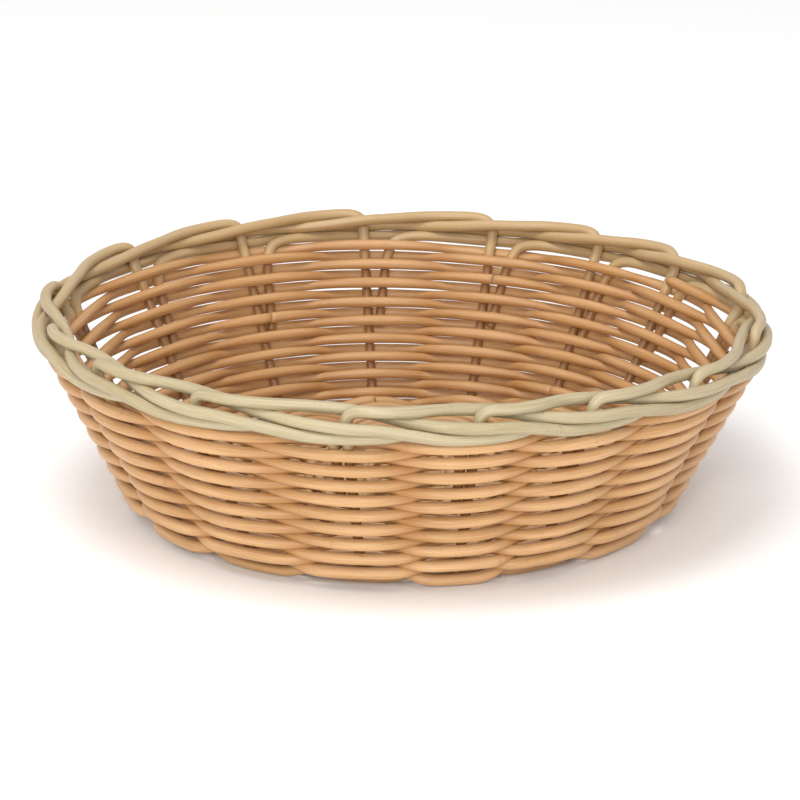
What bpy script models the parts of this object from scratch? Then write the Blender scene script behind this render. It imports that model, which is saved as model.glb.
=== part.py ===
"""Round bread basket in stake-and-strand wickerwork.

Eight base sticks lie in a cross, four over four, and fan out into sixteen spokes.
Two thin ties and two base weavers bind them into a round floor.  A side stake is
pushed in beside every spoke, turns up at the edge of the floor, climbs the leaning
wall and is laid down into the border: behind one stake, in front of two, then to the
inside and down beside the fourth one.  Two strands of rods, half a turn apart, weave
the wall over one stake and under the next.

Units are metres, +Z is up, and the origin is the middle of the underside.
"""
import math

import bpy

MM = 0.001
TURN = 2.0 * math.pi

# Rods
STAKE_DIA = 3.4 * MM          # base sticks and side stakes
WEAVER_DIA = 2.95 * MM        # rods of the wall and the floor
TIE_DIA = 2.0 * MM            # thin rods that tie the cross
CLEARANCE = 0.35 * MM         # air between rods that lie against each other
SLANT_AIR = 0.30 * MM         # the same where a weaver slants across a single rod
JOINT_GAP = 1.0 * MM          # air between the ends of two rods of one strand
CROSSING_MARGIN = 2.3 * MM    # how far a weaver runs on past the rods it crosses
TIE_MARGIN = 1.7 * MM         # the same for the ties

# Floor
BASE_RADIUS = 88.4 * MM       # where the floor's and the wall's middle surfaces meet
CROWN = 3.0 * MM              # rise of the floor's middle
CROSS_STEP = 3.3 * MM         # run in which a stick leaves its layer of the crossing
INNER_HOLD = 4.7 * MM         # run of the inner sticks side by side after that
OUTER_HOLD = 2.7 * MM         # the same for the outer sticks
INNER_FAN = 4.0 * MM          # run in which the inner sticks then reach their rays
OUTER_FAN = 16.5 * MM         # the same for the outer sticks
STICK_SETBACK = 4.5 * MM      # from the base sticks' ends to the bend of the wall
INSERTION = 13.0 * MM         # length of a stake beside its base stick
FLAT_BAND = 15.5 * MM         # width of the flat ring round the crowned middle
SHIFT_RUN = 22.0 * MM         # run in which the sticks make room for the stakes
SHIFT_LEAD = 4.0 * MM         # from there to the stakes' inner ends

# Ties and weave
TIE_STANDOFF = 3.2 * MM       # from the crossing's last step to the ties
TIE_AIR = 0.4 * MM            # air between the turns of the ties
TIE_OPENING = 2.0 * MM        # step outwards where the groups of four open to pairs
TIE_FIRST_PAIR = 7            # pair of spokes at which a tie goes on over pairs
WEAVE_OPENING = 1.5 * MM      # the same where the pairs open to single sticks
WALL_RODS = 5                 # rods end to end in one strand of the wall

# Wall and border
WALL_SLOPE = 56.0 * MM        # woven length of the wall, along the slope
WALL_LEAN = math.radians(27.2)
UPSETT_RADIUS = 8.0 * MM      # bend of the stakes from floor to wall
BEND_STEPS = 4                # straight runs in that bend
BORDER_AIR = 0.125 * MM       # air between the top row and the border over it
TAIL_BAYS = 4                 # a stake's tail ends beside this many stakes further on
TAIL_SPREAD = 9.0 * MM        # from a stake to the tail beside it, at the top row
TAIL_DEPTH = 30.0 * MM        # how far a tail reaches down between the rows

# The route of a stake in the border, in bays past its own stake, rod spacings
# outwards from the stakes and rod spacings up from the lowest strand.
BORDER_ROUTE = (
    (0.000, 0.20, 0.00), (0.000, 0.40, 1.10), (0.015, 0.45, 1.68),
    (0.055, 0.55, 1.98), (0.120, 0.72, 2.10), (0.250, 0.82, 2.06),
    (0.500, 0.40, 2.03), (0.750, -0.40, 1.95), (1.000, -0.65, 1.78),
    (1.250, -0.45, 1.38), (1.500, 0.35, 1.00), (1.750, 1.12, 0.85),
    (2.000, 1.40, 0.65), (2.250, 1.40, 0.60), (2.500, 1.40, 0.20),
    (2.750, 1.38, -0.28), (3.000, 1.25, -0.35), (3.250, 0.90, -0.25),
    (3.500, 0.15, 0.00), (3.640, 0.05, -0.06),
)
# The tail's turn downwards, in spreads before the stake that it ends beside.
TAIL_TURN = ((1.32, -0.42), (1.10, -1.10))

# Derived sizes
ARM_STICKS = 4
ARMS = 4
STAKES = ARMS * ARM_STICKS
STAKE_STEP = TURN / STAKES
HALF_TURN = STAKES // 2
ROD_SPACING = STAKE_DIA + CLEARANCE
ROW_PITCH = WEAVER_DIA + CLEARANCE
TIE_PITCH = TIE_DIA + TIE_AIR
CROSSING_HALF = ARM_STICKS * ROD_SPACING / 2
CROSSING_END = CROSSING_HALF + CROSS_STEP
INNER_PACKED = CROSSING_END + INNER_HOLD
OUTER_PACKED = CROSSING_END + OUTER_HOLD
INNER_RAY = INNER_PACKED + INNER_FAN
OUTER_RAY = OUTER_PACKED + OUTER_FAN
TIE_RADIUS = CROSSING_END + TIE_STANDOFF
WEAVE_OFFSET = (STAKE_DIA + WEAVER_DIA) / 2 + CLEARANCE
TIE_OFFSET = (STAKE_DIA + TIE_DIA) / 2 + CLEARANCE
RISE_ANGLE = math.radians(90) - WALL_LEAN
ROD_SIDES = 6
FLAT_TO_AXIS = WEAVER_DIA / 2 * math.cos(math.pi / ROD_SIDES)
FLOOR_Z = WEAVE_OFFSET + FLAT_TO_AXIS
FLAT_RADIUS = BASE_RADIUS - UPSETT_RADIUS * math.tan(RISE_ANGLE / 2)
CROWN_RADIUS = FLAT_RADIUS - FLAT_BAND
STICK_END = FLAT_RADIUS - STICK_SETBACK
STICK_CLEAR = STICK_END + WEAVER_DIA
STAKE_START = STICK_END - INSERTION
STAKE_CLEAR = STAKE_START - ROW_PITCH
SHIFT_TO = STAKE_START - SHIFT_LEAD
SHIFT_FROM = SHIFT_TO - SHIFT_RUN
BEND_LENGTH = UPSETT_RADIUS * RISE_ANGLE
WALL_START = FLAT_RADIUS + BEND_LENGTH
WALL_TOP = WALL_START + WALL_SLOPE
TAIL_END = WALL_TOP - TAIL_DEPTH
TAIL_CLEAR = TAIL_END - WEAVER_DIA
BORDER_RISE = (STAKE_DIA + WEAVER_DIA) / 2 + BORDER_AIR
PAIRS = STAKES // 2
TIE_LAST_PAIR = TIE_FIRST_PAIR + PAIRS - 1
TIE_END = TIE_RADIUS + TIE_OPENING + 2 * TIE_PITCH * (TIE_LAST_PAIR + 0.5) / PAIRS
WEAVE_START = TIE_END + (TIE_DIA + WEAVER_DIA) / 2 + WEAVE_OPENING

COLOURS = {
    "stake_wood": ((0.72, 0.58, 0.36), 0.50),
    "weaver_wood": ((0.74, 0.45, 0.22), 0.55),
    "base_wood": ((0.66, 0.47, 0.26), 0.60),
}


def clear_scene():
    """Remove every object of the scene."""
    for old in list(bpy.data.objects):
        bpy.data.objects.remove(old, do_unlink=True)


def make_materials():
    """One Principled material for each kind of rod."""
    materials = {}
    for name, (colour, roughness) in COLOURS.items():
        material = bpy.data.materials.new(name)
        material.use_nodes = True
        shader = material.node_tree.nodes["Principled BSDF"]
        shader.inputs["Base Color"].default_value = (*colour, 1.0)
        shader.inputs["Roughness"].default_value = roughness
        shader.inputs["Metallic"].default_value = 0.0
        materials[name] = material
    return materials


def rod(name, points, diameter, material, collection, flat_side_down=False):
    """A round rod with closed ends along the points."""
    curve = bpy.data.curves.new(name, "CURVE")
    curve.dimensions = "3D"
    curve.bevel_depth = diameter / 2
    curve.bevel_resolution = ROD_SIDES // 2 - 2
    curve.resolution_u = 1
    curve.render_resolution_u = 0
    curve.use_fill_caps = True
    if flat_side_down:
        curve.twist_mode = "Z_UP"
    spline = curve.splines.new("POLY")
    spline.points.add(len(points) - 1)
    for point, place in zip(spline.points, points):
        point.co = (*place, 1.0)
    curve.materials.append(material)
    made = bpy.data.objects.new(name, curve)
    collection.objects.link(made)
    return made


def ramp(value, low, high):
    """0 up to low, 1 from high on and straight in between."""
    return min(max((value - low) / (high - low), 0.0), 1.0)


def polar(radius, angle, z):
    """The point at a radius, an angle round the basket and a height."""
    return (radius * math.cos(angle), radius * math.sin(angle), z)


def profile(reach):
    """Radius, height and outward normal of the middle surface.

    The reach is measured from the middle, out along the floor and up the wall.
    """
    if reach <= FLAT_RADIUS:
        dome = CROWN * (1 - min(reach / CROWN_RADIUS, 1.0) ** 2)
        return reach, FLOOR_Z + dome, 0.0, -1.0
    turned = min((reach - FLAT_RADIUS) / UPSETT_RADIUS, RISE_ANGLE)
    sine, cosine = math.sin(turned), math.cos(turned)
    climb = max(reach - WALL_START, 0.0)
    radius = FLAT_RADIUS + UPSETT_RADIUS * sine + climb * cosine
    height = FLOOR_Z + UPSETT_RADIUS * (1 - cosine) + climb * sine
    return radius, height, sine, -cosine


def surface_point(reach, angle, offset=0.0):
    """The point at a reach and an angle, offset outwards or downwards."""
    radius, height, out, up = profile(reach)
    return polar(radius + offset * out, angle, height + offset * up)


# Base sticks

def fan_out(place):
    """Where a stick leaves its neighbours, and the radius where it meets its ray."""
    inner = abs(place) < 1
    return (INNER_PACKED, INNER_RAY) if inner else (OUTER_PACKED, OUTER_RAY)


def bearing(place, radius):
    """Angle from an arm's axis to its stick; place is -1.5, -0.5, 0.5 or 1.5."""
    side = place * ROD_SPACING
    ray = place * STAKE_STEP
    packed, ray_radius = fan_out(place)
    if radius <= math.hypot(packed, side):
        angle = math.asin(side / radius)
    elif radius >= ray_radius:
        angle = ray
    else:
        run = ray_radius * math.cos(ray) - packed
        rise = ray_radius * math.sin(ray) - side
        a = run * run + rise * rise
        b = packed * run + side * rise
        c = packed ** 2 + side ** 2 - radius ** 2
        share = (math.sqrt(b * b - a * c) - b) / a
        angle = math.atan2(side + share * rise, packed + share * run)
    shift = ROD_SPACING * ramp(radius, SHIFT_FROM, SHIFT_TO)
    return angle - math.asin(shift / radius)


def half_stick(arm, place, layer):
    """Points of a base stick along one arm, from the crossing outwards."""
    side = place * ROD_SPACING
    packed, ray_radius = fan_out(place)
    radii = sorted((
        math.hypot(CROSSING_HALF, side),
        math.hypot(CROSSING_END, side),
        math.hypot(packed, side),
        ray_radius, SHIFT_FROM, SHIFT_TO, CROWN_RADIUS, STICK_END,
    ))
    points = []
    for index, radius in enumerate(radii):
        x, y, z = surface_point(radius, arm * TURN / ARMS + bearing(place, radius))
        points.append((x, y, z + (layer if index == 0 else 0.0)))
    return points


def make_base_sticks(material, collection):
    """Four sticks along X, and four along Y on top of them."""
    for axis, layer in ((0, -ROD_SPACING / 2), (1, ROD_SPACING / 2)):
        for index in range(ARM_STICKS):
            place = index - (ARM_STICKS - 1) / 2
            near = half_stick(axis + 2, -place, layer)
            far = half_stick(axis, place, layer)
            name = f"base_stick_{'xy'[axis]}{index + 1}"
            rod(name, near[::-1] + far, STAKE_DIA, material, collection)


# Ties and weave

def spoke_bearing(spoke, radius):
    """Angle round the basket of a spoke's base stick."""
    arm = (spoke + ARM_STICKS // 2) // ARM_STICKS
    place = spoke - arm * ARM_STICKS + 0.5
    return arm * TURN / ARMS + bearing(place, radius)


def stake_bearing(spoke):
    """Angle round the basket of a side stake."""
    return (spoke + 0.5) * STAKE_STEP


def tie_crossing(first, last, reach, side):
    """Two points of a tie, where it crosses the spokes from first to last."""
    low = spoke_bearing(first, reach) - math.asin(TIE_MARGIN / reach)
    high = spoke_bearing(last, reach) + math.asin(TIE_MARGIN / reach)
    offset = side * TIE_OFFSET
    return [surface_point(reach, low, offset), surface_point(reach, high, offset)]


def make_ties(material, collection):
    """Two thin rods: one round over the four arms, then one round over pairs."""
    for strand in range(2):
        points = []
        for group in range(2 * strand, 2 * strand + ARMS):
            side = 1 if (group + strand) % 2 == 0 else -1
            reach = TIE_RADIUS + 2 * TIE_PITCH * (group / ARMS - strand / 2)
            first = ARM_STICKS * group - ARM_STICKS // 2
            points += tie_crossing(first, first + ARM_STICKS - 1, reach, side)
        first_pair = TIE_FIRST_PAIR + strand * PAIRS // 2
        for pair in range(first_pair, first_pair + PAIRS):
            side = 1 if (pair + strand) % 2 == 1 else -1
            turns = (pair + 0.5) / PAIRS - strand / 2
            reach = TIE_RADIUS + TIE_OPENING + 2 * TIE_PITCH * turns
            points += tie_crossing(2 * pair, 2 * pair + 1, reach, side)
        name = f"base_tie_{'ab'[strand]}"
        rod(name, points, TIE_DIA, material, collection, flat_side_down=True)


def tail_offset(reach):
    """Distance from a stake to the tail beside it."""
    share = ramp(reach, TAIL_END, WALL_TOP)
    return ROD_SPACING + (TAIL_SPREAD - ROD_SPACING) * share


def strand_reach(strand, spoke):
    """Reach of a strand where it crosses a spoke, counted on past a full turn."""
    return WEAVE_START + 2 * ROW_PITCH * (spoke / STAKES - strand / 2)


def bends_in_bay(reach):
    """Whether a weaver also bends in the middle of each bay.

    It does from the turn of the floor up to the tails, where it crosses single rods.
    """
    return STICK_CLEAR <= reach < TAIL_CLEAR


def crossing_angles(spoke, reach):
    """Where a weaver bends at a crossing: once at one rod, twice at two."""
    radius = profile(reach)[0]
    stake = stake_bearing(spoke)
    margin = CROSSING_MARGIN / radius
    if reach < STAKE_CLEAR:
        return [spoke_bearing(spoke, radius)]
    if reach < STICK_CLEAR:
        return [spoke_bearing(spoke, radius) - margin, stake + margin]
    if reach < TAIL_CLEAR:
        return [stake]
    return [stake - tail_offset(reach) / radius - margin, stake + margin]


def crossing(strand, spoke, part="whole"):
    """Points of a weaver at one crossing, or up to or from the joint there.

    The weaver runs straight to the next crossing and so cuts inside the row's
    circle.  The points lie that much further along the surface, which keeps the
    rows a full pitch apart in the middle of each bay.
    """
    reach = strand_reach(strand, spoke)
    angles = crossing_angles(spoke, reach)
    radius, _, _, up = profile(reach)
    half_run = (STAKE_STEP - (angles[-1] - angles[0])) / 2
    if bends_in_bay(reach):
        half_run = STAKE_STEP / 4
    reach += radius * (1 - math.cos(half_run)) * -up
    middle = (angles[0] + angles[-1]) / 2
    half_gap = JOINT_GAP / 2 / radius
    offset = WEAVE_OFFSET
    if part == "end":
        angles = [min(angles[0], middle - CROSSING_MARGIN / radius), middle - half_gap]
    elif part == "start":
        angles = [middle + half_gap, max(angles[-1], middle + CROSSING_MARGIN / radius)]
    elif len(angles) == 1:
        bay = 2 * radius * math.sin(STAKE_STEP / 2)
        slant = math.atan(2 * WEAVE_OFFSET / bay)
        touching = (STAKE_DIA + WEAVER_DIA) / 2
        offset = max(WEAVE_OFFSET, (touching + SLANT_AIR) / math.cos(slant))
    side = 1 if (spoke + strand) % 2 == 0 else -1
    points = [surface_point(reach, angle, side * offset) for angle in angles]
    if bends_in_bay(reach) and part != "end":
        bay = spoke + 0.5
        points.append(surface_point(strand_reach(strand, bay), stake_bearing(bay)))
    return points


def weaver_points(strand, first, last):
    """Points of a rod of a strand, from its first crossing to the joint at its last."""
    begins = "start" if strand_reach(strand, first) > STICK_END else "whole"
    points = crossing(strand, first, begins)
    for spoke in range(first + 1, last):
        points += crossing(strand, spoke)
    return points + crossing(strand, last, "end")


def joint_spoke(strand, reach):
    """The last crossing up to a reach at which the strand is on the inside."""
    spoke = math.floor(((reach - WEAVE_START) / (2 * ROW_PITCH) + strand / 2) * STAKES)
    return spoke if (spoke + strand) % 2 == 1 else spoke - 1


def make_weave(base_material, wall_material, collection):
    """Two strands spiral out over the floor and climb the wall."""
    for strand in range(2):
        letter = "ab"[strand]
        start = HALF_TURN * strand + 1 - strand
        turn_up = joint_spoke(strand, FLAT_RADIUS + ROW_PITCH)
        top = joint_spoke(strand, WALL_TOP)
        points = weaver_points(strand, start, turn_up)
        rod(f"base_weaver_{letter}", points, WEAVER_DIA, base_material, collection, True)
        joints = [
            turn_up + 2 * round((top - turn_up) * index / WALL_RODS / 2)
            for index in range(WALL_RODS + 1)
        ]
        for index in range(WALL_RODS):
            points = weaver_points(strand, joints[index], joints[index + 1])
            name = f"wall_weaver_{letter}{index + 1}"
            rod(name, points, WEAVER_DIA, wall_material, collection, True)


# Side stakes with their share of the border

def border_point(spoke, bays, out, up):
    """A point of the border, in bays, rod spacings outwards and spacings up."""
    rim_radius, rim_z = profile(WALL_TOP + BORDER_RISE / math.cos(WALL_LEAN))[:2]
    lean = min(up, 0.0) * math.tan(WALL_LEAN)
    angle = stake_bearing(spoke + bays)
    return polar(rim_radius + ROD_SPACING * (out + lean), angle, rim_z + ROD_SPACING * up)


def tail_points(spoke):
    """The tail's turn and its run down beside the stake with this number."""
    points = []
    radius = profile(WALL_TOP)[0]
    for spreads, up in TAIL_TURN:
        before = spreads * TAIL_SPREAD / radius / STAKE_STEP
        points.append(border_point(spoke, -before, 0.0, up))
    for reach in (WALL_TOP - 2 * ROW_PITCH, TAIL_END):
        angle = stake_bearing(spoke) - tail_offset(reach) / profile(reach)[0]
        points.append(surface_point(reach, angle))
    return points


def make_stakes(material, collection):
    """Sixteen side stakes, each from the floor to the end of its tail."""
    bend = [FLAT_RADIUS + BEND_LENGTH * (step + 1) / BEND_STEPS for step in range(BEND_STEPS)]
    reaches = [STAKE_START, CROWN_RADIUS, FLAT_RADIUS, *bend, WALL_TOP]
    for spoke in range(STAKES):
        points = [surface_point(reach, stake_bearing(spoke)) for reach in reaches]
        points += [border_point(spoke, *step) for step in BORDER_ROUTE]
        points += tail_points(spoke + TAIL_BAYS)
        rod(f"stake_{spoke + 1:02d}", points, STAKE_DIA, material, collection)


def main():
    clear_scene()
    basket = bpy.data.collections.new("bread_basket")
    bpy.context.scene.collection.children.link(basket)
    materials = make_materials()
    make_base_sticks(materials["base_wood"], basket)
    make_ties(materials["base_wood"], basket)
    make_weave(materials["base_wood"], materials["weaver_wood"], basket)
    make_stakes(materials["stake_wood"], basket)


main()
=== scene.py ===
"""Looks of a round bread basket in stake-and-strand wickerwork, built round its CAD frame.

Every rod of the frame is replaced by a finer one on the same route: round cane with a
smooth wave over and under the stakes, slanted cuts at its ends, slightly uneven
thickness and the small irregularities of hand work.  Units are metres, +Z is up.
"""

import math
import random

import bpy
import numpy as np
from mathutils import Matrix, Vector


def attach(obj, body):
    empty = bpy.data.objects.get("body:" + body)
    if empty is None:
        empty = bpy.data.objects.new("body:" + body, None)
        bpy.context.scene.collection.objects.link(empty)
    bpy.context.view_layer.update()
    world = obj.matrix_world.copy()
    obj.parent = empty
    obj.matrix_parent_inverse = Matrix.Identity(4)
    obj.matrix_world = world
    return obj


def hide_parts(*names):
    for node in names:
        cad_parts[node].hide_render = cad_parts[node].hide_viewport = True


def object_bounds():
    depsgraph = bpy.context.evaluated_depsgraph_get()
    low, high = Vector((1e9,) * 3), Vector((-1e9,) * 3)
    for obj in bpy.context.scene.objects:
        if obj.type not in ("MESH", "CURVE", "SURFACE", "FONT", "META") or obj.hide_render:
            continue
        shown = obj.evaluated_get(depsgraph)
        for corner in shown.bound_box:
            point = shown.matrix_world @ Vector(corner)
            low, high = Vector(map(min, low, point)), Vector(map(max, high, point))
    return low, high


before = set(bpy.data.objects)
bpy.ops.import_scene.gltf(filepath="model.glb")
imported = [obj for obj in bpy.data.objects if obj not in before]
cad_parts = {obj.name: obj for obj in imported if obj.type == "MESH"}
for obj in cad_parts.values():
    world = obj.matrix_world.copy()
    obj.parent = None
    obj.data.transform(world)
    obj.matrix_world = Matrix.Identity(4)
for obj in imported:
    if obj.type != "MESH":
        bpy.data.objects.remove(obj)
cad_low, cad_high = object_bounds()

MM = 0.001
TURN = 2.0 * math.pi

# The frame's driving sizes: rods
STAKE_DIA = 3.4 * MM          # base sticks and side stakes
WEAVER_DIA = 2.95 * MM        # rods of the wall and the floor
TIE_DIA = 2.0 * MM            # thin rods that tie the cross
FRAME_SIDES = 6               # sides of a rod of the frame
CLEARANCE = 0.35 * MM         # air between rods that lie against each other
TIE_MARGIN = 1.7 * MM         # how far a tie runs on past the rods it crosses

# Floor
BASE_RADIUS = 88.4 * MM       # where the floor's and the wall's middle surfaces meet
CROWN = 3.0 * MM              # rise of the floor's middle
CROSS_STEP = 3.3 * MM         # run in which a stick leaves its layer of the crossing
INNER_HOLD = 4.7 * MM         # run of the inner sticks side by side after that
OUTER_HOLD = 2.7 * MM         # the same for the outer sticks
INNER_FAN = 4.0 * MM          # run in which the inner sticks then reach their rays
OUTER_FAN = 16.5 * MM         # the same for the outer sticks
STICK_SETBACK = 4.5 * MM      # from the base sticks' ends to the bend of the wall
INSERTION = 13.0 * MM         # length of a stake beside its base stick
FLAT_BAND = 15.5 * MM         # width of the flat ring round the crowned middle
SHIFT_RUN = 22.0 * MM         # run in which the sticks make room for the stakes
SHIFT_LEAD = 4.0 * MM         # from there to the stakes' inner ends

# Ties and weave
TIE_STANDOFF = 3.2 * MM       # from the crossing's last step to the ties
TIE_AIR = 0.4 * MM            # air between the turns of the ties
TIE_FIRST_PAIR = 7            # pair of spokes at which a tie goes on over pairs
TIE_OPENING = 2.0 * MM        # step outwards where the groups of four open to pairs
WEAVE_OPENING = 1.5 * MM      # the same where the pairs open to single sticks
WALL_RODS = 5                 # rods end to end in one strand of the wall

# Wall and border
WALL_SLOPE = 56.0 * MM        # woven length of the wall, along the slope
WALL_LEAN = math.radians(27.2)
UPSETT_RADIUS = 8.0 * MM      # bend of the stakes from floor to wall
TAIL_BAYS = 4                 # a stake's tail ends beside this many stakes further on
TAIL_DEPTH = 30.0 * MM        # how far a tail reaches down between the rows

# The route of a stake in the border, in bays past its own stake, spacings outwards
# from the stakes and layers up from the lowest strand
BORDER_ROUTE = (
    (0.000, 0.20, 0.00), (0.000, 0.40, 1.10), (0.015, 0.45, 1.68),
    (0.055, 0.55, 1.98), (0.120, 0.72, 2.10), (0.250, 0.82, 2.06),
    (0.500, 0.40, 2.03), (0.750, -0.40, 1.95), (1.000, -0.65, 1.78),
    (1.250, -0.45, 1.38), (1.500, 0.35, 1.00), (1.750, 1.12, 0.85),
    (2.000, 1.40, 0.65), (2.250, 1.40, 0.60), (2.500, 1.40, 0.20),
    (2.750, 1.38, -0.28), (3.000, 1.25, -0.35), (3.250, 0.90, -0.25),
    (3.500, 0.15, 0.00), (3.640, 0.05, -0.06),
)
# The tail's turn downwards, in tail offsets before the stake that it ends beside, and layers
TAIL_TURN = ((1.32, -0.42), (1.10, -1.10))

# Sizes that follow from these
ARM_STICKS = 4
ARMS = 4
STAKES = ARMS * ARM_STICKS
STAKE_STEP = TURN / STAKES
HALF_TURN = STAKES // 2
ROD_SPACING = STAKE_DIA + CLEARANCE
ROW_PITCH = WEAVER_DIA + CLEARANCE
TIE_PITCH = TIE_DIA + TIE_AIR
CROSSING_HALF = ARM_STICKS * ROD_SPACING / 2
CROSSING_END = CROSSING_HALF + CROSS_STEP
INNER_PACKED = CROSSING_END + INNER_HOLD
OUTER_PACKED = CROSSING_END + OUTER_HOLD
INNER_RAY = INNER_PACKED + INNER_FAN
OUTER_RAY = OUTER_PACKED + OUTER_FAN
TIE_RADIUS = CROSSING_END + TIE_STANDOFF
WEAVE_OFFSET = (STAKE_DIA + WEAVER_DIA) / 2 + CLEARANCE
TIE_OFFSET = (STAKE_DIA + TIE_DIA) / 2 + CLEARANCE
RISE_ANGLE = math.radians(90) - WALL_LEAN
FLAT_TO_AXIS = WEAVER_DIA / 2 * math.cos(math.pi / FRAME_SIDES)
FLOOR_Z = WEAVE_OFFSET + FLAT_TO_AXIS
FLAT_RADIUS = BASE_RADIUS - UPSETT_RADIUS * math.tan(RISE_ANGLE / 2)
CROWN_RADIUS = FLAT_RADIUS - FLAT_BAND
STICK_END = FLAT_RADIUS - STICK_SETBACK
STICK_CLEAR = STICK_END + WEAVER_DIA
STAKE_START = STICK_END - INSERTION
STAKE_CLEAR = STAKE_START - ROW_PITCH
SHIFT_TO = STAKE_START - SHIFT_LEAD
SHIFT_FROM = SHIFT_TO - SHIFT_RUN
WALL_START = FLAT_RADIUS + UPSETT_RADIUS * RISE_ANGLE
WALL_TOP = WALL_START + WALL_SLOPE
TAIL_END = WALL_TOP - TAIL_DEPTH
TAIL_CLEAR = TAIL_END - WEAVER_DIA
PAIRS = STAKES // 2
TIE_LAST_PAIR = TIE_FIRST_PAIR + PAIRS - 1
TIE_END = TIE_RADIUS + TIE_OPENING + 2 * TIE_PITCH * (TIE_LAST_PAIR + 0.5) / PAIRS
WEAVE_START = TIE_END + (TIE_DIA + WEAVER_DIA) / 2 + WEAVE_OPENING

# The finished rods, round and packed closer than the frame's
CANE_RADIUS = 1.66 * MM       # weavers of the wall
SWELL = 0.26 * MM             # how much thicker they are where they lie over a stake
BASE_CANE_RADIUS = 1.58 * MM  # weavers of the floor
STAKE_RADIUS = 1.62 * MM
BORDER_RADIUS = 1.92 * MM
TIE_CANE_RADIUS = 1.0 * MM
WAVE_DEPTH = 3.3 * MM         # from the stakes' middle surface to a weaver's axis
BORDER_RISE = 2.7 * MM        # from the top row up to the border's lowest strand
BORDER_LAYER = 3.55 * MM      # between the layers of the border
BORDER_SPACING = 3.55 * MM    # the same outwards
BACK_LIFT = 1.8 * MM          # how much higher the top row lies at the back
LIFT_RUN = 26.0 * MM          # length of wall over which the rows spread for that
FRONT_LEVEL = 0.95            # 1 for a weave that waves level, 0 for square to the wall
BACK_LEVEL = 0.2              # the same at the back
FULLNESS = 0.22               # how much fuller than a sine wave the weave is
FOOT_FULLNESS = 0.05          # the same, added in the first rows of the wall
FOOT_LEAD = 6.0 * MM          # length of floor over which that starts
FOOT_RUN = 12.0 * MM          # length of wall over which it fades
FOOT_BIAS = 1.7 * MM          # how far out the first rows run between the stakes
END_GAP = 0.3 * MM            # between the ends of two rods of one strand
BACK_TAIL = 8.6 * MM          # from a stake to the tail beside it, at the back
FRONT_TAIL = 4.4 * MM         # the same at the front
STAKE_SPREAD = (0.98, 1.02)   # thinnest and thickest stick or stake, against the usual
WEAVER_SPREAD = (0.985, 1.015)
RING_STEP = 2.2 * MM          # between the rings of a wall rod
BASE_STEP = 1.6 * MM          # the same on the floor's weavers
FINE_STEP = 1.4 * MM          # the same on the sticks and stakes
TIE_STEP = 0.9 * MM           # the same on the ties
RING_SIDES = 14
STAKE_SIDES = 16
TIE_SIDES = 12
STICK_DETAIL = 1.0 * MM       # between the points of a stick before it is smoothed
TIE_DETAIL = 0.6 * MM         # the same on the ties
STICK_PASSES = 4              # how often a stick is smoothed
TIE_PASSES = 3                # the same for the ties
RING_PASSES = 2               # the same for every rod, once its rings are in place
CUT_SLANT = 0.25              # slope of the cut ends
CUT_SHARE = 0.86              # the flat of a cut end, as a share of the rod's thickness
CUT_BULGE = 0.06              # how far the flat stands out, the same way
BACK_SHADE = 0.36               # how much painted shade darkens the border at the back
INNER_LIGHT = 0.5              # how exposed the weave counts inside, against 1 outside: less gives the inside painted shade

# Hand work: how far each stake stands off its even place, in degrees, counted
# anticlockwise from +X, and the wobble of the rods
STAKE_DRIFT = (
    0.5, 1.5, -3.0, -5.0, -4.5, -4.5, -3.0, 1.0,
    4.0, 1.5, 1.0, 3.0, 0.3, -3.8, -4.8, -0.8,
)
DRIFT_FROM = 44.0 * MM        # radius where the stakes begin to stand off
DRIFT_FULL = 82.0 * MM        # radius from which they do so fully
RIM_TILT = 0.014              # slope of the rim, down towards +X
ROW_WOBBLE = 0.16 * MM        # of a row along the surface
DEPTH_WOBBLE = 0.10 * MM      # of a row out of the surface
INWARD_SHARE = 0.3            # share of that by which a row may lie too shallow
BODY_WOBBLE = 0.55 * MM       # of the whole basket
WOBBLE_RADII = (60.0 * MM, 100.0 * MM)  # between these it grows outwards
WOBBLE_HEIGHTS = (8.0 * MM, 60.0 * MM)  # and between these upwards
OUT_WAVES = (2, 3, 5, 7)      # waves round the basket, pushed in and out
UP_WAVES = (3, 4, 7)          # the same, up and down
OUT_TWIST = 18.0              # how those waves turn with height, radians per metre
UP_TWIST = 12.0
UNEVENNESS = (                # share of the radius, waves round the rod, radians per metre
    (0.018, 2, 35.0),
    (0.012, 3, -52.0),
    (0.016, 0, 140.0),
    (0.010, 0, 310.0),
)

# How the rods follow their routes
SHOWN_HEIGHTS = (50.0 * MM, 60.0 * MM)  # between these a stake comes out of the weave
FULLER_TURN = (0.2, 0.6)      # outward part of the wall's normal where the weave gets fuller
LEVEL_TURN = (0.45, 0.85)     # the same where it starts to wave level
LEAST_OUT = 0.5               # keeps the level wave short in the bend
WAVE_LIMIT = 1.2              # the deepest wave, as a share of the usual one
WAVE_STEP = 0.8 * RING_STEP   # between a weaver's points from stake to stake
JOINT_REST = 1.2 * RING_STEP  # how far a rod's end lies along the stake that it ends at
RISE_POINTS = 40              # points of a stake up to the top row
LEAD_IN = 3                   # how many of them the border's curve starts with
TAIL_POINTS = 5

# What the materials read from the rods' points
ROD_SHIFT = 7.0               # between the places of two rods in the materials' patterns
PLAIN = 0.5                   # exposure of cut ends and of rods without a weave

rng = random.Random(374)


# ---------------------------------------------------------------- surface and paths

def ramp(value, low, high):
    """0 up to low, 1 from high on and straight in between."""
    return np.clip((value - low) / (high - low), 0.0, 1.0)


def smooth(share):
    """The same share, with an easy start and end."""
    return share * share * (3.0 - 2.0 * share)


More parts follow.
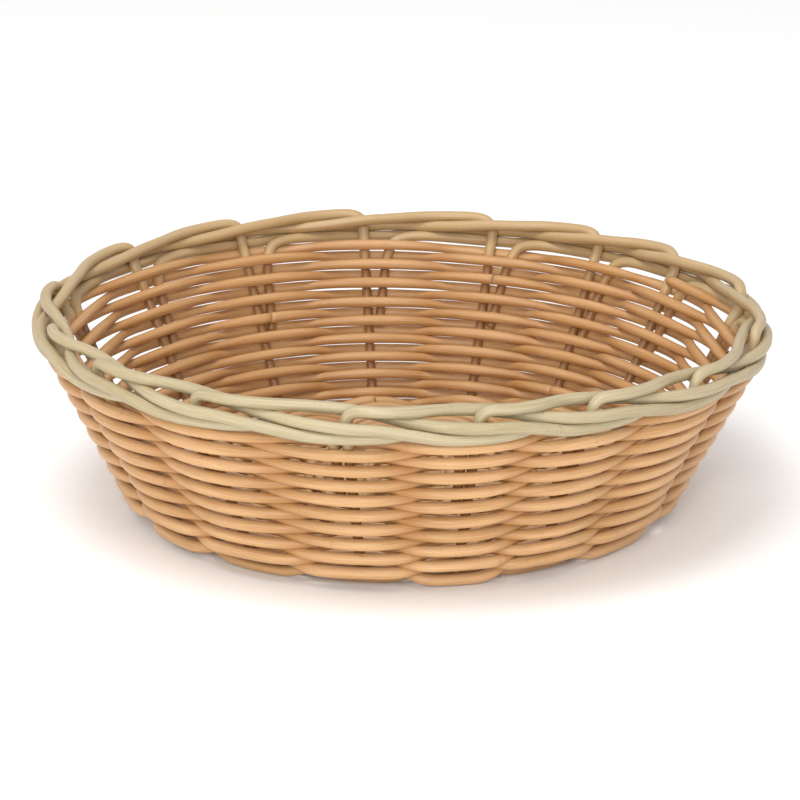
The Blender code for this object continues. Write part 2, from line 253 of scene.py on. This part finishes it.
def profile(reach):
    """Radius, height and outward normal of the middle surface, measured from the middle."""
    dome = CROWN * (1.0 - np.minimum(reach / CROWN_RADIUS, 1.0) ** 2)
    turned = np.clip((reach - FLAT_RADIUS) / UPSETT_RADIUS, 0.0, RISE_ANGLE)
    climb = np.maximum(reach - WALL_START, 0.0)
    sine, cosine = np.sin(turned), np.cos(turned)
    radius = np.minimum(reach, FLAT_RADIUS) + UPSETT_RADIUS * sine + climb * cosine
    height = FLOOR_Z + dome + UPSETT_RADIUS * (1.0 - cosine) + climb * sine
    return radius, height, sine, -cosine


# Phases of the basket's own waves: the first of each three is for the push in and out,
# the second for the lift, and the others are spare
PHASES = [[rng.uniform(0, TURN) for _ in range(3)] for _ in range(6)]


def waves(numbers, which, rounds, z, twist):
    """Waves round the basket, the long ones higher than the short ones."""
    return sum(
        np.sin(number * rounds + phase[which] + z * twist) / number
        for number, phase in zip(numbers, PHASES)
    )


def hand_made(points):
    """The points with the basket's own unevenness, the same for rods that lie together."""
    x, y, z = points.T
    height = ramp(z, *WOBBLE_HEIGHTS)
    rounds = np.arctan2(y, x)
    out = waves(OUT_WAVES, 0, rounds, z, OUT_TWIST)
    up = waves(UP_WAVES, 1, rounds, z, UP_TWIST)
    push = BODY_WOBBLE * out * smooth(ramp(np.hypot(x, y), *WOBBLE_RADII))
    lift = BODY_WOBBLE * up * height - RIM_TILT * x * height
    return np.column_stack((x + push * np.cos(rounds), y + push * np.sin(rounds), z + lift))


def behind(angle):
    """0 at the front of the basket, 1 at the back."""
    return smooth(0.5 + 0.5 * np.sin(angle))


def drifted(angle, radius):
    """The angle round the basket, moved with the stakes that stand off their place."""
    bay = angle / STAKE_STEP - 0.5
    below = np.floor(bay).astype(int)
    drift = np.radians(np.array(STAKE_DRIFT))
    first, second = drift[below % STAKES], drift[(below + 1) % STAKES]
    here = first + (second - first) * smooth(bay - below)
    return angle + here * smooth(ramp(radius, DRIFT_FROM, DRIFT_FULL))


def to_space(radius, angle, z):
    """Points in space from radii, angles and heights."""
    values = (np.asarray(value, float) for value in (radius, angle, z))
    radius, angle, z = np.broadcast_arrays(*values)
    turned = drifted(angle, radius)
    return hand_made(np.column_stack((radius * np.cos(turned), radius * np.sin(turned), z)))


def surface_cylinder(reach, angle, offset):
    """Radius, angle and height of a point on the middle surface, offset outwards."""
    radius, height, out, up = profile(reach)
    return radius + offset * out, angle, height + offset * up


def on_curve(controls, step):
    """Points on a smooth curve through the controls, which are radius, angle, height.

    It is a centripetal Catmull-Rom curve, with one more control added past each end.
    """
    controls = np.array(controls, float)
    lengths = np.diff(controls, axis=0)
    lengths[:, 1] *= controls[:, 0].mean()
    lengths = np.linalg.norm(lengths, axis=1)
    knots = np.concatenate(([0.0], np.cumsum(np.sqrt(lengths))))
    times = np.concatenate(([2 * knots[0] - knots[1]], knots, [2 * knots[-1] - knots[-2]]))
    padded = np.vstack((2 * controls[0] - controls[1], controls, 2 * controls[-1] - controls[-2]))
    made = []
    for i in range(1, len(controls)):
        t0, t1, t2, t3 = times[i - 1:i + 3]
        p0, p1, p2, p3 = padded[i - 1:i + 3]
        count = max(2, round(lengths[i - 1] / step * 2))
        for t in np.linspace(t1, t2, count, endpoint=False):
            a1 = (t1 - t) / (t1 - t0) * p0 + (t - t0) / (t1 - t0) * p1
            a2 = (t2 - t) / (t2 - t1) * p1 + (t - t1) / (t2 - t1) * p2
            a3 = (t3 - t) / (t3 - t2) * p2 + (t - t2) / (t3 - t2) * p3
            b1 = (t2 - t) / (t2 - t0) * a1 + (t - t0) / (t2 - t0) * a2
            b2 = (t3 - t) / (t3 - t1) * a2 + (t - t1) / (t3 - t1) * a3
            made.append((t2 - t) / (t2 - t1) * b1 + (t - t1) / (t2 - t1) * b2)
    made.append(controls[-1])
    return np.array(made)


def soften(points, passes):
    """Round the corners of a line of points, in place."""
    for _ in range(passes):
        points[1:-1] = 0.25 * points[:-2] + 0.5 * points[1:-1] + 0.25 * points[2:]


def evenly(points, step, *values):
    """The points evenly spaced along the rod, their places on it and the values there."""
    steps = np.linalg.norm(np.diff(points, axis=0), axis=1)
    lengths = np.concatenate(([0.0], np.cumsum(steps)))
    places = np.linspace(0.0, lengths[-1], max(4, round(lengths[-1] / step) + 1))
    spaced = np.column_stack([np.interp(places, lengths, points[:, i]) for i in range(3)])
    soften(spaced, RING_PASSES)
    return spaced, places, *(np.interp(places, lengths, value) for value in values)


# ---------------------------------------------------------------- rods as meshes

rod_count = 0


def cross_axes(tangent):
    """Two directions across the rod at each point, carried along it without a twist."""
    side = np.cross(tangent[0], (0.0, 0.0, 1.0))
    if np.linalg.norm(side) < 0.1:
        side = np.cross(tangent[0], (1.0, 0.0, 0.0))
    sideways = np.zeros(tangent.shape)
    for i, along in enumerate(tangent):
        side = side - along * (side @ along)
        side = side / np.linalg.norm(side)
        sideways[i] = side
    return sideways, np.cross(tangent, sideways)


def tube_faces(rows, sides):
    """Four-sided faces between rings that follow each other."""
    ring = np.arange(sides)
    following = (ring + 1) % sides
    base = (np.arange(rows - 1) * sides)[:, None]
    corners = (base + ring, base + following, base + sides + following, base + sides + ring)
    return np.stack(corners, axis=-1).reshape(-1, 4).tolist()


def cap(rim, rim_space, outward, rim_start, cap_start, flipped):
    """A cut end: its points, their places in rod space and its faces."""
    sides = len(rim)
    middle = rim.mean(axis=0)
    flat = middle + (rim - middle) * CUT_SHARE + outward
    points = np.vstack((flat, flat.mean(axis=0)))
    space = np.vstack((rim_space * (1.0, CUT_SHARE, CUT_SHARE), (rim_space[0][0], 0.0, 0.0)))
    faces = []
    for i in range(sides):
        j = (i + 1) % sides
        band = [rim_start + i, rim_start + j, cap_start + j, cap_start + i]
        fan = [cap_start + i, cap_start + j, cap_start + sides]
        faces += [band[::-1], fan[::-1]] if flipped else [band, fan]
    return points, space, faces


def add_attribute(mesh, name, kind, field, values):
    """Store one value or vector for each point of the mesh."""
    attribute = mesh.attributes.new(name, kind, "POINT")
    attribute.data.foreach_set(field, values.astype(np.float32).ravel())


def make_rod(name, points, radius, material, step=RING_STEP, bare=PLAIN, sides=RING_SIDES):
    """A round cane along the points; it stands for the frame's rod of the same name.

    radius and bare, which says how exposed the rod is and so how much painted shade it gets, may
    change from point to point.
    """
    global rod_count
    rod_count += 1
    radius = np.broadcast_to(np.asarray(radius, float), len(points))
    bare = np.broadcast_to(np.asarray(bare, float), len(points))
    centre, along, thick, bare = evenly(np.asarray(points, float), step, radius, bare)
    count = len(centre)
    tangent = np.gradient(centre, axis=0)
    tangent /= np.linalg.norm(tangent, axis=1)[:, None]
    sideways, upward = cross_axes(tangent)

    phases = [rng.uniform(0, TURN) for _ in UNEVENNESS]
    cut_turn = rng.uniform(0, TURN)
    turn = np.linspace(0.0, TURN, sides, endpoint=False)
    s, a = np.meshgrid(along, turn, indexing="ij")
    reach = thick[:, None] * (1.0 + sum(
        share * np.sin(around * a + rate * s + phase)
        for (share, around, rate), phase in zip(UNEVENNESS, phases)
    ))
    across, over = reach * np.cos(a), reach * np.sin(a)
    verts = (centre[:, None, :] + across[..., None] * sideways[:, None, :]
             + over[..., None] * upward[:, None, :])
    slant = CUT_SLANT * thick[0] * np.cos(turn - cut_turn)
    slant = (slant - slant.max())[:, None]
    verts[0] += slant * tangent[0]
    verts[-1] += slant * tangent[-1]
    rod_space = np.stack((s + ROD_SHIFT * rod_count, across, over), axis=-1)

    tube_size = count * sides
    parts, spaces = [verts.reshape(-1, 3)], [rod_space.reshape(-1, 3)]
    faces = tube_faces(count, sides)
    for row, way in ((0, -1.0), (count - 1, 1.0)):
        outward = way * tangent[row] * thick[row] * CUT_BULGE
        cap_start = sum(len(part) for part in parts)
        made = cap(verts[row], rod_space[row], outward, row * sides, cap_start, way < 0.0)
        parts.append(made[0])
        spaces.append(made[1])
        faces += made[2]
    verts = np.vstack(parts)
    cut = np.zeros(len(verts))
    cut[tube_size:] = 1.0
    exposed = np.full(len(verts), PLAIN)
    exposed[:tube_size] = np.repeat(bare, sides)

    mesh = bpy.data.meshes.new(name + "_cane")
    mesh.from_pydata(verts.tolist(), [], faces)
    mesh.update()
    add_attribute(mesh, "rod_space", "FLOAT_VECTOR", "vector", np.vstack(spaces))
    add_attribute(mesh, "exposed", "FLOAT", "value", exposed)
    add_attribute(mesh, "cut", "FLOAT", "value", cut)
    mesh.shade_smooth()
    mesh.materials.append(material)
    rod = bpy.data.objects.new(name + "_cane", mesh)
    bpy.context.scene.collection.objects.link(rod)
    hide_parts(name)
    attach(rod, "root")


# ---------------------------------------------------------------- materials

# Painted shade: the warm brown that the covered stretches of a cane go over to
WARM_SHADE = (0.50, 0.28, 0.10)
SPECK = (0.22, 0.10, 0.035)
SCAR = (0.30, 0.15, 0.06)
PITH_DARK = (0.40, 0.25, 0.12)
PITH_LIGHT = (0.60, 0.43, 0.24)
RELIEF = 0.12 * MM            # height of the fibres and scars


def make_cane(name, light, middle, deep, shade, hidden=0.6, bare_from=1.0, warm_shade=0.0,
              patch=0.36, roughness=0.38):
    """Peeled cane: long fibres, soft patches, brown specks and pithy cuts, with painted shade and
    a painted highlight.

    light, middle and deep are the cane's tones.  Where a rod is less exposed than bare_from
    it goes over to shade, a painted shade, by as much as hidden says, and warm_shade paints a
    warm shade on its covered stretches.  Its most exposed tops are paler: partly wear, partly
    painted highlight.  patch is how blotchy it is.
    """
    material = bpy.data.materials.new(name)
    material.use_nodes = True
    nodes, links = material.node_tree.nodes, material.node_tree.links
    shader = nodes["Principled BSDF"]

    def node(kind, **settings):
        made = nodes.new(kind)
        for key, value in settings.items():
            setattr(made, key, value)
        return made

    def darker(colour, share):
        return tuple(share * channel for channel in colour)

    def noise(scale, detail, grain=0.55, distortion=0.0):
        """Noise stretched by scale, along the rod and across it, per metre."""
        stretch = node("ShaderNodeMapping")
        stretch.inputs["Scale"].default_value = scale
        texture = node("ShaderNodeTexNoise")
        texture.inputs["Scale"].default_value = 1.0
        texture.inputs["Detail"].default_value = detail
        texture.inputs["Roughness"].default_value = grain
        texture.inputs["Distortion"].default_value = distortion
        links.new(place.outputs["Vector"], stretch.inputs["Vector"])
        links.new(stretch.outputs["Vector"], texture.inputs["Vector"])
        return texture.outputs["Fac"]

    def spread(value, low, high, to_low=0.0, to_high=1.0):
        made = node("ShaderNodeMapRange", clamp=True)
        made.inputs["From Min"].default_value = low
        made.inputs["From Max"].default_value = high
        made.inputs["To Min"].default_value = to_low
        made.inputs["To Max"].default_value = to_high
        links.new(value, made.inputs["Value"])
        return made.outputs["Result"]

    def math_node(operation, first, second):
        made = node("ShaderNodeMath", operation=operation)
        for socket, value in zip(made.inputs, (first, second)):
            if isinstance(value, (int, float)):
                socket.default_value = value
            else:
                links.new(value, socket)
        return made.outputs["Value"]

    def mix(share, first, second):
        made = node("ShaderNodeMix", data_type="RGBA")
        sockets = (made.inputs[0], made.inputs[6], made.inputs[7])  # factor and two colours
        for socket, value in zip(sockets, (share, first, second)):
            if isinstance(value, (int, float)):
                socket.default_value = value
            elif isinstance(value, tuple):
                socket.default_value = (*value, 1.0)
            else:
                links.new(value, socket)
        return made.outputs[2]

    place = node("ShaderNodeAttribute", attribute_name="rod_space")
    bare = node("ShaderNodeAttribute", attribute_name="exposed").outputs["Fac"]
    cut = node("ShaderNodeAttribute", attribute_name="cut").outputs["Fac"]

    # Patterns that run along the rod
    fibres = noise((45.0, 3600.0, 3600.0), 4.0, 0.6)
    fine = noise((160.0, 9000.0, 9000.0), 3.0, 0.6)
    patches = noise((26.0, 240.0, 240.0), 3.0, 0.55, 0.4)
    length = noise((9.0, 40.0, 40.0), 2.0)
    specks = noise((330.0, 2100.0, 2100.0), 2.0, 0.5)
    scars = noise((900.0, 260.0, 260.0), 1.0, 0.4)
    scar_place = noise((36.0, 60.0, 60.0), 1.0)
    pith = noise((1.0, 2600.0, 2600.0), 3.0)
    scar = math_node("MULTIPLY", spread(scars, 0.62, 0.72), spread(scar_place, 0.60, 0.70))

    # Colour: patches, fibres, painted shade where the rod is covered and paler tops where it is
    # bare, specks and scars, cut ends
    tone = mix(spread(patches, 0.38, 0.62), deep, light)
    tone = mix(patch, middle, tone)
    tone = mix(spread(length, 0.38, 0.66, 0.0, 0.55), tone, light)
    streak = mix(spread(fibres, 0.36, 0.64), darker(deep, 0.80), light)
    tone = mix(0.40, tone, streak)
    tone = mix(spread(fine, 0.40, 0.62, 0.0, 0.20), tone, darker(deep, 0.62))
    # Painted warm shade on the covered stretches
    tone = mix(spread(bare, 0.45, 1.0, warm_shade, 0.0), tone, WARM_SHADE)
    # Painted shade: the less exposed the rod, the more it goes over to the shade colour
    tone = mix(spread(bare, 0.0, bare_from, hidden, 0.0), tone, shade)
    # Paler on the most exposed tops: partly wear, partly painted highlight
    tone = mix(spread(bare, 0.0, 1.0, 0.0, 0.14), tone, light)
    tone = mix(spread(specks, 0.69, 0.76, 0.0, 0.55), tone, SPECK)
    tone = mix(math_node("MULTIPLY", scar, 0.35), tone, SCAR)
    end = mix(spread(pith, 0.35, 0.65), PITH_DARK, PITH_LIGHT)
    tone = mix(cut, tone, end)
    links.new(tone, shader.inputs["Base Color"])

    # Roughness: the fibres and patches vary it, and the cut ends are duller
    rough = math_node("ADD", spread(fibres, 0.3, 0.7, roughness - 0.06, roughness + 0.10),
                      spread(patches, 0.3, 0.7, -0.04, 0.06))
    rough = math_node("ADD", rough, math_node("MULTIPLY", cut, 0.35))
    links.new(rough, shader.inputs["Roughness"])

    # Relief of the fibres and scars
    height = math_node("ADD", fibres, math_node("MULTIPLY", fine, 0.35))
    height = math_node("ADD", height, math_node("MULTIPLY", scar, 0.8))
    bump = node("ShaderNodeBump")
    bump.inputs["Strength"].default_value = 0.45
    bump.inputs["Distance"].default_value = RELIEF
    links.new(height, bump.inputs["Height"])
    links.new(bump.outputs["Normal"], shader.inputs["Normal"])
    return material


# ---------------------------------------------------------------- base sticks and ties

def fan_out(place):
    """Where a stick leaves its neighbours, and the radius where it meets its ray."""
    return (INNER_PACKED, INNER_RAY) if abs(place) < 1 else (OUTER_PACKED, OUTER_RAY)


def bearing(place, radius):
    """Angle from an arm's axis to its stick; place is -1.5, -0.5, 0.5 or 1.5."""
    side = place * ROD_SPACING
    ray = place * STAKE_STEP
    packed, ray_radius = fan_out(place)
    if radius <= math.hypot(packed, side):
        angle = math.asin(side / radius)
    elif radius >= ray_radius:
        angle = ray
    else:
        run = ray_radius * math.cos(ray) - packed
        rise = ray_radius * math.sin(ray) - side
        a = run * run + rise * rise
        b = packed * run + side * rise
        c = packed ** 2 + side ** 2 - radius ** 2
        share = (math.sqrt(b * b - a * c) - b) / a
        angle = math.atan2(side + share * rise, packed + share * run)
    shift = ROD_SPACING * float(ramp(radius, SHIFT_FROM, SHIFT_TO))
    return angle - math.asin(shift / radius)


def spoke_bearing(spoke, radius):
    """Angle round the basket of a spoke's base stick."""
    arm = (spoke + ARM_STICKS // 2) // ARM_STICKS
    return arm * TURN / ARMS + bearing(spoke - arm * ARM_STICKS + 0.5, radius)


def stake_bearing(spoke):
    """Angle round the basket of a side stake."""
    return (spoke + 0.5) * STAKE_STEP


def smooth_line(points, step, passes):
    """The straight runs between the points with their corners cut round."""
    points = np.array(points, float)
    dense = [points[0]]
    for first, second in zip(points[:-1], points[1:]):
        count = max(1, round(np.linalg.norm(second - first) / step))
        shares = np.linspace(0.0, 1.0, count + 1)[1:]
        dense.extend(first + (second - first) * share for share in shares)
    dense = np.array(dense)
    soften(dense, passes)
    return dense


def half_stick(arm, place, layer):
    """Points of a base stick along one arm, from the crossing outwards."""
    side = place * ROD_SPACING
    packed, ray_radius = fan_out(place)
    radii = [
        math.hypot(CROSSING_HALF, side), math.hypot(CROSSING_END, side),
        math.hypot(packed, side), ray_radius, SHIFT_FROM, 0.5 * (SHIFT_FROM + SHIFT_TO),
        SHIFT_TO, CROWN_RADIUS, STICK_END,
    ]
    points = []
    for index, reach in enumerate(radii):
        angle = arm * TURN / ARMS + bearing(place, reach)
        radius, _, z = surface_cylinder(reach, angle, 0.0)
        points.append(to_space(radius, angle, z + (layer if index == 0 else 0.0))[0])
    return points


def make_base_sticks(material):
    """Four sticks along X, and four along Y on top of them."""
    for axis, layer in ((0, -ROD_SPACING / 2), (1, ROD_SPACING / 2)):
        for index in range(ARM_STICKS):
            place = index - (ARM_STICKS - 1) / 2
            points = half_stick(axis + 2, -place, layer)[::-1] + half_stick(axis, place, layer)
            line = smooth_line(points, STICK_DETAIL, STICK_PASSES)
            thick = STAKE_RADIUS * rng.uniform(*STAKE_SPREAD)
            make_rod(f"base_stick_{'xy'[axis]}{index + 1}", line, thick, material,
                     FINE_STEP)


def tie_crossing(first, last, reach, side):
    """Two points of a tie, where it crosses the spokes from first to last."""
    low = spoke_bearing(first, reach) - math.asin(TIE_MARGIN / reach)
    high = spoke_bearing(last, reach) + math.asin(TIE_MARGIN / reach)
    ends = [surface_cylinder(reach, angle, side * TIE_OFFSET) for angle in (low, high)]
    return [to_space(*end)[0] for end in ends]


def make_ties(material):
    """Two thin rods: one round over the four arms, then one round over pairs."""
    for strand in range(2):
        points = []
        for group in range(2 * strand, 2 * strand + ARMS):
            side = 1 if (group + strand) % 2 == 0 else -1
            reach = TIE_RADIUS + 2 * TIE_PITCH * (group / ARMS - strand / 2)
            first = ARM_STICKS * group - ARM_STICKS // 2
            points += tie_crossing(first, first + ARM_STICKS - 1, reach, side)
        first_pair = TIE_FIRST_PAIR + strand * PAIRS // 2
        for pair in range(first_pair, first_pair + PAIRS):
            side = 1 if (pair + strand) % 2 == 1 else -1
            turns = (pair + 0.5) / PAIRS - strand / 2
            reach = TIE_RADIUS + TIE_OPENING + 2 * TIE_PITCH * turns
            points += tie_crossing(2 * pair, 2 * pair + 1, reach, side)
        line = smooth_line(points, TIE_DETAIL, TIE_PASSES)
        make_rod(f"base_tie_{'ab'[strand]}", line, TIE_CANE_RADIUS, material,
                 TIE_STEP, sides=TIE_SIDES)


# ---------------------------------------------------------------- weave

def tail_offset(reach, spoke):
    """Distance from a stake to the tail beside it, wider at the back of the basket."""
    widest = FRONT_TAIL + (BACK_TAIL - FRONT_TAIL) * behind(stake_bearing(spoke))
    return ROD_SPACING + (widest - ROD_SPACING) * float(ramp(reach, TAIL_END, WALL_TOP))


def strand_reach(strand, spoke):
    """Reach of a strand where it crosses a spoke, counted on past a full turn."""
    return WEAVE_START + 2 * ROW_PITCH * (spoke / STAKES - strand / 2)


def crossed(spoke, reach):
    """The angles of the first and the last rod that a weaver crosses at a spoke."""
    radius = float(profile(reach)[0])
    stake = stake_bearing(spoke)
    if reach < STAKE_CLEAR:
        return spoke_bearing(spoke, radius), spoke_bearing(spoke, radius)
    if reach < STICK_CLEAR:
        return spoke_bearing(spoke, radius), stake
    if reach < TAIL_CLEAR:
        return stake, stake
    return stake - tail_offset(reach, spoke) / radius, stake


def joint_spoke(strand, reach):
    """The last crossing up to a reach at which the strand is on the inside."""
    spoke = math.floor(((reach - WEAVE_START) / (2 * ROW_PITCH) + strand / 2) * STAKES)
    return spoke if (spoke + strand) % 2 == 1 else spoke - 1


def wave_shape(angles, reaches, offsets):
    """The weave on the wall: fuller than a sine wave, near level and lifted at the back.

    On the foot of the wall the rods also run further out between the stakes.
    """
    out, up = profile(reaches)[2:]
    wave = np.clip(offsets / WAVE_DEPTH, -WAVE_LIMIT, WAVE_LIMIT)
    foot = smooth(ramp(reaches, FLAT_RADIUS - FOOT_LEAD, FLAT_RADIUS)) * (
        1.0 - smooth(ramp(reaches, WALL_START, WALL_START + FOOT_RUN)))
    power = 1.0 - FULLNESS * smooth(ramp(out, *FULLER_TURN)) - FOOT_FULLNESS * foot
    offsets = WAVE_DEPTH * np.sign(wave) * np.abs(wave) ** power
    offsets = offsets + FOOT_BIAS * foot * np.maximum(1.0 - wave ** 2, 0.0)
    level = FRONT_LEVEL + (BACK_LEVEL - FRONT_LEVEL) * behind(angles)
    tilt = -up / np.maximum(out, LEAST_OUT) * smooth(ramp(out, *LEVEL_TURN))
    reaches = reaches + level * offsets * tilt
    lift = BACK_LIFT * behind(angles) * ramp(reaches, WALL_TOP - LIFT_RUN, WALL_TOP)
    return reaches + lift, offsets


def weaver_path(strand, first, last, wobble, starts_at_joint):
    """A rod of a strand: its points, and its wave, 1 outside and -1 inside a stake."""
    angles, reaches, offsets = [], [], []
    before = None
    for spoke in range(first, last + 1):
        reach = strand_reach(strand, spoke)
        radius = float(profile(reach)[0])
        low, high = crossed(spoke, reach)
        side = 1 if (spoke + strand) % 2 == 0 else -1
        row, depth = wobble[spoke]
        reach, offset = reach + row, side * (WAVE_DEPTH + depth)
        middle, rest = (low + high) / 2, JOINT_REST / radius
        if spoke == first and starts_at_joint:
            low, high = middle + END_GAP / 2 / radius, max(high, middle + rest)
        if spoke == last:
            low, high = min(low, middle - rest), middle - END_GAP / 2 / radius
        if before:
            old_high, old_reach, old_offset, count = before
            turns = np.arange(1, count) / count
            share = 0.5 - 0.5 * np.cos(math.pi * turns)
            angles.extend(old_high + (low - old_high) * turns)
            reaches.extend(old_reach + (reach - old_reach) * turns)
            offsets.extend(old_offset + (offset - old_offset) * share)
        held = max(2, round((high - low) * radius / RING_STEP)) if high > low else 1
        angles.extend(np.linspace(low, high, held))
        reaches.extend([reach] * held)
        offsets.extend([offset] * held)
        next_low = crossed(spoke + 1, strand_reach(strand, spoke + 1))[0]
        before = high, reach, offset, max(6, round((next_low - high) * radius / WAVE_STEP))
    angles = np.array(angles)
    reaches, offsets = wave_shape(angles, np.array(reaches), np.array(offsets))
    return to_space(*surface_cylinder(reaches, angles, offsets)), offsets / WAVE_DEPTH


def exposure(wave):
    """How exposed a weaver is, which sets its painted shade: it is paler over a stake, and more so
    outside.
    """
    return np.where(wave > 0.0, wave, INNER_LIGHT * -wave)


def make_weave(base_material, wall_material):
    """Two strands spiral out over the floor and climb the wall."""
    for strand in range(2):
        letter = "ab"[strand]
        start = HALF_TURN * strand + 1 - strand
        turn_up = joint_spoke(strand, FLAT_RADIUS + ROW_PITCH)
        top = joint_spoke(strand, WALL_TOP)
        wobble = [
            (rng.uniform(-1, 1) * ROW_WOBBLE, rng.uniform(-INWARD_SHARE, 1) * DEPTH_WOBBLE)
            for _ in range(top + 2)
        ]
        points, wave = weaver_path(strand, start, turn_up, wobble, False)
        make_rod(f"base_weaver_{letter}", points, BASE_CANE_RADIUS, base_material,
                 BASE_STEP, exposure(wave))
        joints = [
            turn_up + 2 * round((top - turn_up) * index / WALL_RODS / 2)
            for index in range(WALL_RODS + 1)
        ]
        for index in range(WALL_RODS):
            points, wave = weaver_path(strand, joints[index], joints[index + 1], wobble, True)
            thick = (CANE_RADIUS + SWELL * wave ** 2) * rng.uniform(*WEAVER_SPREAD)
            make_rod(f"wall_weaver_{letter}{index + 1}", points, thick, wall_material,
                     RING_STEP, exposure(wave))


# ---------------------------------------------------------------- stakes and border

def border_place(spoke, bays, out, up):
    """A place in the border, in bays, rod spacings outwards and layers up."""
    rim_radius, rim_z = profile(WALL_TOP + BORDER_RISE / math.cos(WALL_LEAN))[:2]
    lean = min(up, 0.0) * math.tan(WALL_LEAN)
    radius = float(rim_radius) + BORDER_SPACING * (out + lean)
    return radius, stake_bearing(spoke + bays), float(rim_z) + BORDER_LAYER * up


def tail_places(spoke):
    """The tail's turn and its run down beside the stake with this number."""
    places = []
    radius = float(profile(WALL_TOP)[0])
    for spreads, up in TAIL_TURN:
        before = spreads * tail_offset(WALL_TOP, spoke) / radius / STAKE_STEP
        places.append(border_place(spoke, -before, 0.0, up))
    for reach in np.linspace(WALL_TOP - 2 * ROW_PITCH, TAIL_END, TAIL_POINTS):
        radius, z = (float(value) for value in profile(reach)[:2])
        places.append((radius, stake_bearing(spoke) - tail_offset(reach, spoke) / radius, z))
    return places


def make_stakes(material):
    """Sixteen side stakes, each from the floor to the end of its tail."""
    for spoke in range(STAKES):
        radius, z = profile(np.linspace(STAKE_START, WALL_TOP, RISE_POINTS))[:2]
        rise = list(zip(radius, [stake_bearing(spoke)] * RISE_POINTS, z))
        border = [border_place(spoke, *step) for step in BORDER_ROUTE]
        tail = tail_places(spoke + TAIL_BAYS)
        curve = on_curve(rise[-LEAD_IN:] + border + tail, FINE_STEP)
        radius, angle, z = np.vstack((rise[:-LEAD_IN], curve)).T
        shown = smooth(ramp(z, *SHOWN_HEIGHTS))
        thick = STAKE_RADIUS + (BORDER_RADIUS - STAKE_RADIUS) * shown
        thick = thick * rng.uniform(*STAKE_SPREAD)
        # The exposure sets the painted shade: full inside the weave, and some at the back of the
        # border
        make_rod(f"stake_{spoke + 1:02d}", to_space(radius, angle, z), thick, material,
                 FINE_STEP, shown * (1.0 - BACK_SHADE * behind(angle)), sides=STAKE_SIDES)


# ---------------------------------------------------------------- studio

FLOOR_HALF = 3.0
LAMP_COLOUR = (1.0, 0.985, 0.96)
LAMP_TARGET = (0.0, 0.0, 0.03)
WORLD_STRENGTH = 0.80
CAMERA_LENS = 168.4
CAMERA_SHIFT = (-0.001875, 0.00125)
CAMERA_AIM = 35.0 * MM        # height of the point that the camera looks at
CAMERA_ELEVATION = math.radians(17.5)
CAMERA_DISTANCE = 1.27


def make_floor(level):
    """A plain pale table top of four squares, at the height of the lowest rods."""
    mesh = bpy.data.meshes.new("studio_floor")
    places = (-FLOOR_HALF, 0.0, FLOOR_HALF)
    verts = [(x, y, level) for y in places for x in places]
    mesh.from_pydata(verts, [], [(i, i + 1, i + 4, i + 3) for i in (0, 1, 3, 4)])
    material = bpy.data.materials.new("studio_white")
    material.use_nodes = True
    shader = material.node_tree.nodes["Principled BSDF"]
    shader.inputs["Base Color"].default_value = (0.97, 0.97, 0.97, 1.0)
    shader.inputs["Roughness"].default_value = 0.9
    shader.inputs["Specular IOR Level"].default_value = 0.1
    mesh.materials.append(material)
    floor = bpy.data.objects.new("studio_floor", mesh)
    bpy.context.scene.collection.objects.link(floor)


def make_lamp(name, place, size, power):
    """A square soft lamp that looks at the basket."""
    light = bpy.data.lights.new(name, "AREA")
    light.shape = "SQUARE"
    light.size = size
    light.energy = power
    light.color = LAMP_COLOUR
    lamp = bpy.data.objects.new(name, light)
    lamp.location = place
    way = Vector(LAMP_TARGET) - Vector(place)
    lamp.rotation_euler = way.to_track_quat("-Z", "Y").to_euler()
    bpy.context.scene.collection.objects.link(lamp)


def make_studio():
    """White surroundings, a big soft lamp above and one behind the camera."""
    world = bpy.data.worlds.new("studio")
    world.use_nodes = True
    background = world.node_tree.nodes["Background"]
    background.inputs["Color"].default_value = (1.0, 1.0, 1.0, 1.0)
    background.inputs["Strength"].default_value = WORLD_STRENGTH
    bpy.context.scene.world = world
    make_lamp("lamp_top", place=(-0.25, -0.45, 1.3), size=0.7, power=9.0)
    make_lamp("lamp_front", place=(-0.20, -1.5, 0.62), size=0.5, power=12.5)


def make_camera():
    """A long lens, a little above the rim."""
    middle = (cad_low + cad_high) / 2
    aim = Vector((middle.x, middle.y, CAMERA_AIM))
    back = Vector((0.0, -math.cos(CAMERA_ELEVATION), math.sin(CAMERA_ELEVATION)))
    camera = bpy.data.objects.new("camera", bpy.data.cameras.new("camera"))
    camera.data.lens = CAMERA_LENS
    camera.data.sensor_width = 36.0
    camera.data.shift_x, camera.data.shift_y = CAMERA_SHIFT
    camera.data.clip_start, camera.data.clip_end = 0.05, 20.0
    camera.location = aim + CAMERA_DISTANCE * back
    camera.rotation_euler = (-back).to_track_quat("-Z", "Y").to_euler()
    bpy.context.scene.collection.objects.link(camera)
    bpy.context.scene.camera = camera


make_camera()
make_studio()
bpy.context.scene.view_settings.view_transform = "Standard"

# Each cane's shade is the colour of its painted shade
wall_cane = make_cane(
    "wall_cane", light=(0.78, 0.485, 0.255), middle=(0.54, 0.29, 0.100), deep=(0.37, 0.17, 0.036),
    shade=(0.34, 0.14, 0.030), patch=0.46, roughness=0.44,
)
border_cane = make_cane(
    "border_cane", light=(0.55, 0.47, 0.31), middle=(0.36, 0.295, 0.160), deep=(0.25, 0.18, 0.075),
    shade=(0.27, 0.115, 0.030), hidden=0.9, bare_from=0.5, warm_shade=0.9,
)
base_cane = make_cane(
    "base_cane", light=(0.64, 0.40, 0.20), middle=(0.50, 0.275, 0.10), deep=(0.36, 0.17, 0.045),
    shade=(0.36, 0.15, 0.035), hidden=0.4,
)
make_base_sticks(base_cane)
make_ties(base_cane)
make_weave(base_cane, wall_cane)
make_stakes(border_cane)

low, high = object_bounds()
make_floor(low[2])
